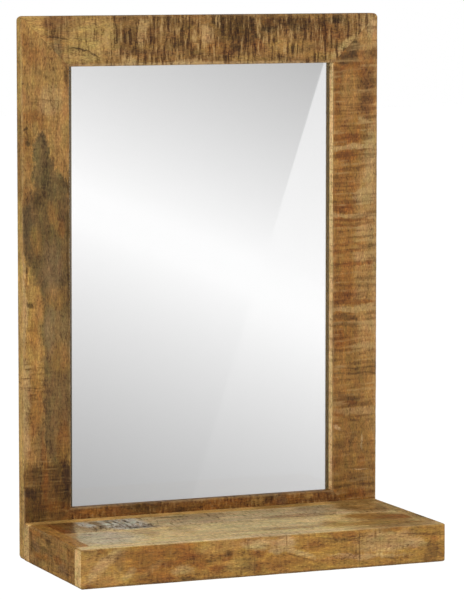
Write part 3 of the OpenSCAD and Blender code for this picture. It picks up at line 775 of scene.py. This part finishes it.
def silver_material():
    """The silver coat, dark along its sides in painted shade, for the rebate's shade that it
    reflects there.
    """
    net = Net("mirror_silver")
    face = net.reorder(net.place_mm(), "xzy")
    across, up = net.part(face, 0), net.part(face, 1)
    half_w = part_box("right_stile")[0].x / MM
    # painted shade: the silver darkened beside the bars, for the rebate's shade that it reflects
    both = net.ramp(net.calc("ABSOLUTE", across), half_w - LINE_END, half_w - LINE_DARK)
    slanted = net.calc("MULTIPLY_ADD", up, -LEFT_LINE_WIDENS, across)
    left = net.ramp(slanted, LEFT_LINE_END - half_w, LEFT_LINE_DARK - half_w)
    painted_shade = net.calc("MAXIMUM", both, left)
    haze = net.noise(face, (0.006, 0.006, 0.006), 7, 1, 0.5)
    bright = net.mix(haze, (0.982, 0.972, 0.980, 1), (0.988, 0.978, 0.986, 1))
    net.feed(net.shader.inputs["Base Color"], net.mix(painted_shade, bright, (0.100, 0.055, 0.004, 1)))
    net.shader.inputs["Metallic"].default_value = 1.0
    net.shader.inputs["Roughness"].default_value = 0.01
    return net.material


def add_pane(material):
    """The glass pane with its ground edges, a hair clear of the silver and of the wood."""
    low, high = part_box("mirror_glass")
    clear, ground = 0.05 * MM, 0.5 * MM
    shape = bmesh.new()
    bmesh.ops.create_cube(shape, size=1.0)
    for corner in shape.verts:
        for axis in range(3):
            spare = clear if axis == 1 else 0.0
            end = high[axis] - spare if corner.co[axis] > 0 else low[axis] + spare
            corner.co[axis] = end
    bmesh.ops.bevel(shape, geom=shape.edges[:], offset=ground, segments=2, affect="EDGES")
    mesh = bpy.data.meshes.new("glass_pane")
    shape.to_mesh(mesh)
    shape.free()
    pane = add_object("glass_pane", mesh, material)
    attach(pane, "root")
    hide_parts("mirror_glass")


# The studio

CAMERA_AT = Vector((-1.6538, -4.0657, 0.2026))
CAMERA_YAW, CAMERA_PITCH = 22.719, -5.354
CAMERA_LENS = 201.83
CAMERA_RISE = -45 / 600  # the picture's centre lies this share of its height below the axis

FLOOR_Z = FOOT - 6.0  # far below the mirror, so that no edge or shade of the floor shows
CARD_Y = -5.0

# What the card shows, in millimetres on the mirror. The bright band crosses the centre line
# BAND_UP above the mirror's foot. The second card's edge lies on a line that passes the foot
# EDGE_LEFT to the left of the centre line and leans to the right
BAND_UP, BAND_SLOPE, BAND_HALF = 387.0, -0.413, 20.0
EDGE_LEFT, EDGE_LEAN = 31.6, 0.33
FADE = 0.00086  # light lost with each millimetre away from the band
SECOND_LEVEL, SECOND_SHARE = 0.985, 0.62  # the second card's light, and how much of it is seen
FAINT_SHARE = 0.013  # the light that it adds below the band
LEAST_LEVEL = 0.6  # what it shows far from the band
DISPLAY_GAMMA = 2.2  # from these levels, as the eye sees them, to light
CARD_LIGHT = 1.02


def add_camera():
    camera = bpy.data.objects.new("camera", bpy.data.cameras.new("camera"))
    camera.location = CAMERA_AT
    camera.rotation_euler = (math.radians(90 + CAMERA_PITCH), 0, math.radians(-CAMERA_YAW))
    camera.data.lens = CAMERA_LENS
    camera.data.shift_y = CAMERA_RISE
    camera.data.clip_end = 200
    bpy.context.scene.collection.objects.link(camera)
    bpy.context.scene.camera = camera


def add_plane(name, material, half):
    """A square that faces the wall or the viewer and isn't part of the object."""
    mesh = bpy.data.meshes.new(name)
    mesh.from_pydata([(-half, 0, -half), (half, 0, -half), (half, 0, half), (-half, 0, half)],
                     [], [(0, 1, 2, 3)])
    plane = add_object(name, mesh, material)
    return plane


def card_material():
    """What the mirror shows: a bright band across a grey card, and a second card's edge.

    The card is placed so that its own coordinates are the mirror's, in metres, as the camera
    sees them there.
    """
    net = Net("mirror_card")
    here = net.place_mm()
    across, up = net.part(here, 0), net.part(here, 2)
    # How far a place lies below the middle of the bright band, which slants down to the right
    below = net.calc("SUBTRACT", net.calc("MULTIPLY_ADD", across, BAND_SLOPE, BAND_UP), up)
    away = net.calc("MAXIMUM", net.calc("ADD", net.calc("ABSOLUTE", below), -BAND_HALF), 0.0)
    level = net.calc("MULTIPLY_ADD", away, -FADE, 1.0)
    # The second card's edge runs steeply down from the mirror's upper right corner
    edge = net.calc("MULTIPLY_ADD", up, -EDGE_LEAN, net.calc("ADD", across, EDGE_LEFT))
    second = net.calc("MULTIPLY", net.ramp(edge, -0.8, 0.8, 0.0, SECOND_SHARE),
                      net.ramp(below, 20, -50))
    level = net.calc("MULTIPLY_ADD", net.calc("SUBTRACT", SECOND_LEVEL, level), second, level)
    # and shows again, faint, below the band
    faint = net.calc("MULTIPLY", net.ramp(edge, -1.6, 0.4),
                     net.ramp(below, 10, 60, 0.0, FAINT_SHARE))
    level = net.calc("MAXIMUM", net.calc("ADD", level, faint), LEAST_LEVEL)
    level = net.calc("POWER", level, DISPLAY_GAMMA)
    net.feed(net.shader.inputs["Emission Color"], net.mix(level, (0, 0, 0, 1), (1, 1, 1, 1)))
    net.shader.inputs["Emission Strength"].default_value = CARD_LIGHT
    net.shader.inputs["Base Color"].default_value = (0, 0, 0, 1)
    net.shader.inputs["Specular IOR Level"].default_value = 0.0
    return net.material


def add_card():
    """Stands far in front of the mirror; only the mirror and the lacquer see it."""
    card = add_plane("mirror_card", card_material(), half=3.0)
    silver_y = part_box("mirror_silvering")[0].y
    behind = Vector((CAMERA_AT.x, 2 * silver_y - CAMERA_AT.y, CAMERA_AT.z))
    grow = (behind.y - CARD_Y) / (behind.y - silver_y)
    card.location = (behind.x * (1 - grow), CARD_Y, behind.z * (1 - grow))
    card.scale = (grow, 1, grow)
    card.visible_camera = False
    card.visible_diffuse = False
    card.visible_shadow = False


def add_floor():
    net = Net("studio_floor")
    cloud = net.noise(net.place_mm(), (0.0005, 0.0005, 0.0005), 1, 2, 0.5)
    net.feed(net.shader.inputs["Base Color"],
             net.mix(cloud, (0.90, 0.90, 0.90, 1), (0.92, 0.92, 0.92, 1)))
    net.shader.inputs["Roughness"].default_value = 0.9
    net.shader.inputs["Emission Color"].default_value = (1, 1, 1, 1)
    net.shader.inputs["Emission Strength"].default_value = 0.16
    floor = add_plane("studio_floor", net.material, half=120.0)
    floor.rotation_euler = (math.radians(-90), 0, 0)
    floor.location = (0, 0, FLOOR_Z)
    floor.visible_glossy = False


def add_softbox(name, place, target, size, power):
    light = bpy.data.lights.new(name, "AREA")
    light.shape = "SQUARE"
    light.size = size
    light.energy = power
    box = bpy.data.objects.new(name, light)
    box.location = place
    box.rotation_euler = (Vector(target) - Vector(place)).to_track_quat("-Z", "Y").to_euler()
    box.visible_transmission = False
    bpy.context.scene.collection.objects.link(box)


# How much darker than white the room is: for the lacquer and the steel, and for the mirror at
# the height of the eye and overhead
GLOSS_DIM = 0.95
LEVEL_DIM, OVERHEAD_DIM = 0.12, 0.45


def add_sky():
    """An even white room, darker for what the lacquer, the steel and the mirror show of it."""
    sky = Sky("studio")
    rays = sky.tree.nodes.new("ShaderNodeLightPath").outputs
    toward = sky.tree.nodes.new("ShaderNodeTexCoord").outputs["Generated"]
    # Only the rays of the mirror have passed its glass
    mirrored = sky.calc("GREATER_THAN", rays["Transmission Depth"], 0.5)
    above = sky.ramp(sky.part(toward, 2), 0.0, 0.9, LEVEL_DIM, OVERHEAD_DIM)
    dim = sky.calc("MULTIPLY", rays["Is Glossy Ray"], GLOSS_DIM)
    dim = sky.calc("MULTIPLY", dim, sky.calc("SUBTRACT", 1.0, mirrored))
    dim = sky.calc("MULTIPLY_ADD", mirrored, above, dim)
    sky.feed(sky.shader.inputs["Color"], (1, 1, 1, 1))
    sky.feed(sky.shader.inputs["Strength"], sky.calc("SUBTRACT", 1.0, dim))
    bpy.context.scene.world = sky.world


def add_lights():
    middle = (0, -0.1, -0.25)
    add_softbox("key", (-2.6, -3.0, 2.2), middle, size=2.4, power=34)
    add_softbox("fill", (2.8, -3.4, 1.2), middle, size=2.4, power=12)


def slot_of(node):
    """The record's material slot of a CAD node that hasn't been dressed yet."""
    return node.data.materials[0].name.split(".")[0]


def dress(frame):
    """Gives each piece its material, and each board its worn copy."""
    plain = {
        "beech_dowel": dowel_material(),
        "hardboard": hardboard_material(),
        "zinc_plated_steel": steel_material(),
        "clear_glass": glass_material(),
        "mirror_silver": silver_material(),
    }
    for name, node in frame["nodes"].items():
        # Seen through the glass, only the silver and the card that it reflects show
        node.visible_transmission = name == "mirror_silvering"
        if name in BOARDS:
            material = wood_material("wood_" + name, BOARDS[name])
            worn_board(name, node, BOARDS[name], material)
        else:
            material = plain[slot_of(node)]
        node.data.materials.clear()
        node.data.materials.append(material)
    add_pane(plain["clear_glass"])


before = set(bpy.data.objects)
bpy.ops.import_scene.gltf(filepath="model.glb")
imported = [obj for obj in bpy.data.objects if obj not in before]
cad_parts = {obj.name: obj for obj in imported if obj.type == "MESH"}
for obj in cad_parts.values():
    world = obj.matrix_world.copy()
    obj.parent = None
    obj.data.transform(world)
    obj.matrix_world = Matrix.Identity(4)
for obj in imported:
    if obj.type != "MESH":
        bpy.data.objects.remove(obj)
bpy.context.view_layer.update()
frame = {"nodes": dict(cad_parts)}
scene = bpy.context.scene
scene.view_settings.view_transform = "Standard"
dress(frame)
add_camera()
add_sky()
add_lights()
add_floor()
add_card()
